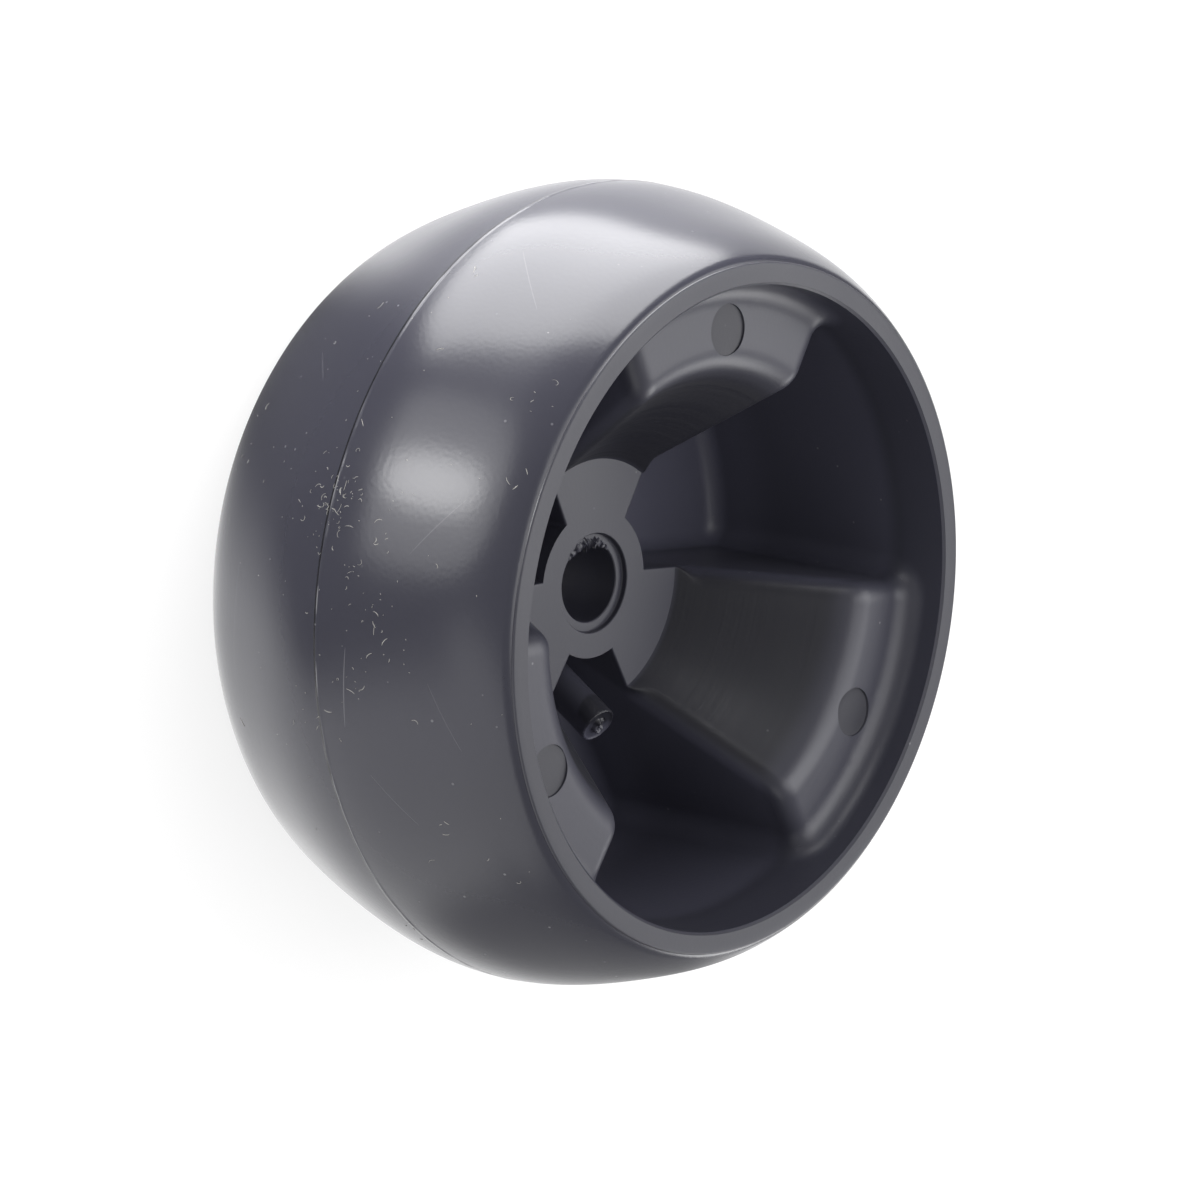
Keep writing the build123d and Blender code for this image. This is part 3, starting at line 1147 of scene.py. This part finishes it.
def lay_floor(studio):
    """A large flat floor under the far rim: plain white to the camera with a faint shadow.

    In the wheel's gloss it glows, a painted reflection that is darker in a sector towards the camera and
    dimmer in one behind.
    """
    low = CAD_LOW[2] / MM
    side = 3000.0
    corners = np.array([[-side, -side, low], [side, -side, low], [side, side, low], [-side, side, low]])
    floor = mesh_object("floor", corners, np.array([[0, 1, 2, 3]]))
    recipe = Recipe("pale_floor")
    camera, mirrored = recipe.rays()
    to_camera, behind, beside_wheel = (-0.37, -0.93, 0.0), (0.98, 0.20, 0.0), (0.04, -0.025, low * MM)
    reach = recipe.distance((0, 0, low * MM))
    # Painted reflection: the floor's glow is darker in a sector towards the camera, near the wheel
    dark = (recipe.towards(to_camera) / reach).ease(0.68, 0.88)
    dark = dark * recipe.distance(beside_wheel).ease(0.050, 0.072) * 0.85
    # Painted reflection: the floor's glow is dimmer in a sector behind, away from the wheel
    dim = (recipe.towards(behind) / reach).ease(0.80, 0.93) * reach.ease(0.08, 0.13) * 0.7
    shade = recipe.mix(camera, recipe.grey(1.0 - dark.most(dim)), tint((1, 1, 1), 1 / studio.sweep))
    diffuse = recipe.node("ShaderNodeBsdfDiffuse", None, {"Color": tint(studio.floor)})
    # The floor's glow: a painted reflection in the wheel's gloss, and plain white to the camera
    glow = recipe.node("ShaderNodeEmission", None, {"Color": shade, "Strength": studio.sweep})
    seen = (camera * 0.8).most(mirrored)
    shader = recipe.node("ShaderNodeMixShader", None, [seen, diffuse, glow])
    floor.data.materials.append(recipe.finish(shader))


def light_room(scene, studio):
    """Pale surroundings: white to the camera, even as a light, and dim in the gloss but for one side."""
    world = scene.world or bpy.data.worlds.new("room")
    scene.world = world
    world.use_nodes = True
    recipe = Recipe(tree=world.node_tree)
    camera, mirrored = recipe.rays()
    lit_side = (0.67, -0.74, 0.0)
    lit = recipe.towards(lit_side).ease(0.70, 0.88)
    reflected = studio.gloom + lit * (studio.sweep - studio.gloom)
    strength = camera + (1.0 - camera) * (mirrored * reflected + (1.0 - mirrored) * studio.room)
    shade = recipe.node("ShaderNodeBackground", None, {"Color": (1, 1, 1, 1), "Strength": strength})
    recipe.node("ShaderNodeOutputWorld", None, {"Surface": shade})


def aimed(position, target):
    """A matrix at a position whose -Z points at the target and whose X is level."""
    forward = np.array(target, float) - np.array(position, float)
    forward /= np.linalg.norm(forward)
    right = np.cross(forward, (0, 0, 1))
    right /= np.linalg.norm(right)
    upward = np.cross(right, forward)
    columns = np.stack([right, upward, -forward, position], axis=1)
    return Matrix([*columns.tolist(), [0, 0, 0, 1]])


def soft_light(name, power, position, target, size, tilt):
    """A soft light of this width and height, tilted by these degrees, that faces its target."""
    data = bpy.data.lights.new(name, "AREA")
    data.shape = "ELLIPSE" if name.startswith("glint") else "RECTANGLE"
    data.size, data.size_y = size
    data.energy = power
    lamp = bpy.data.objects.new(name, data)
    lamp.matrix_world = aimed(position, target) @ Matrix.Rotation(radians(tilt), 4, "Z")
    bpy.context.scene.collection.objects.link(lamp)


def place_camera(scene, studio):
    """The photograph's view: the wheel lies on its far rim and the camera is rolled onto its side."""
    data = bpy.data.cameras.new("camera")
    data.lens = studio.focal
    data.sensor_width = 36.0
    data.clip_end = 20.0
    camera = bpy.data.objects.new("camera", data)
    rows = np.array([*CAMERA_AXES, CAMERA_PLACE]).T.tolist()
    camera.matrix_world = Matrix([*rows, [0, 0, 0, 1]])
    scene.collection.objects.link(camera)
    scene.camera = camera


class DECKWHEEL_PT_panel(bpy.types.Panel):
    """Lists the building steps and their sizes"""

    bl_idname = "DECKWHEEL_PT_panel"
    bl_label = "Deck Wheel"
    bl_space_type = "VIEW_3D"
    bl_region_type = "UI"
    bl_category = "Deck Wheel"

    def draw(self, context):
        for operator in OPERATORS:
            self.layout.operator(operator.bl_idname)
        for name, group in GROUPS:
            box = self.layout.box()
            box.label(text=name.title())
            for prop in group.__annotations__:
                box.prop(getattr(context.scene, "deckwheel_" + name), prop)


GROUPS = (
    ("barrel", DECKWHEEL_PG_barrel),
    ("web", DECKWHEEL_PG_web),
    ("post", DECKWHEEL_PG_post),
    ("chip", DECKWHEEL_PG_chip),
    ("look", DECKWHEEL_PG_look),
    ("studio", DECKWHEEL_PG_studio),
)
OPERATORS = (
    DECKWHEEL_OT_tread,
    DECKWHEEL_OT_open_face,
    DECKWHEEL_OT_far_face,
    DECKWHEEL_OT_bore,
    DECKWHEEL_OT_post,
    DECKWHEEL_OT_chips,
    DECKWHEEL_OT_studio,
)


def register():
    for name, group in GROUPS:
        bpy.utils.register_class(group)
        setattr(bpy.types.Scene, "deckwheel_" + name, bpy.props.PointerProperty(type=group))
    for operator in OPERATORS:
        bpy.utils.register_class(operator)
    bpy.utils.register_class(DECKWHEEL_PT_panel)


def unregister():
    bpy.utils.unregister_class(DECKWHEEL_PT_panel)
    for operator in reversed(OPERATORS):
        bpy.utils.unregister_class(operator)
    for name, group in reversed(GROUPS):
        delattr(bpy.types.Scene, "deckwheel_" + name)
        bpy.utils.unregister_class(group)


def main():
    """Registers the classes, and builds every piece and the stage."""
    register()
    bpy.ops.deckwheel.tread()
    bpy.ops.deckwheel.open_face()
    bpy.ops.deckwheel.far_face()
    bpy.ops.deckwheel.bore()
    bpy.ops.deckwheel.post()
    bpy.ops.deckwheel.chips()
    bpy.ops.deckwheel.studio()


if __name__ == "__main__":
    main()
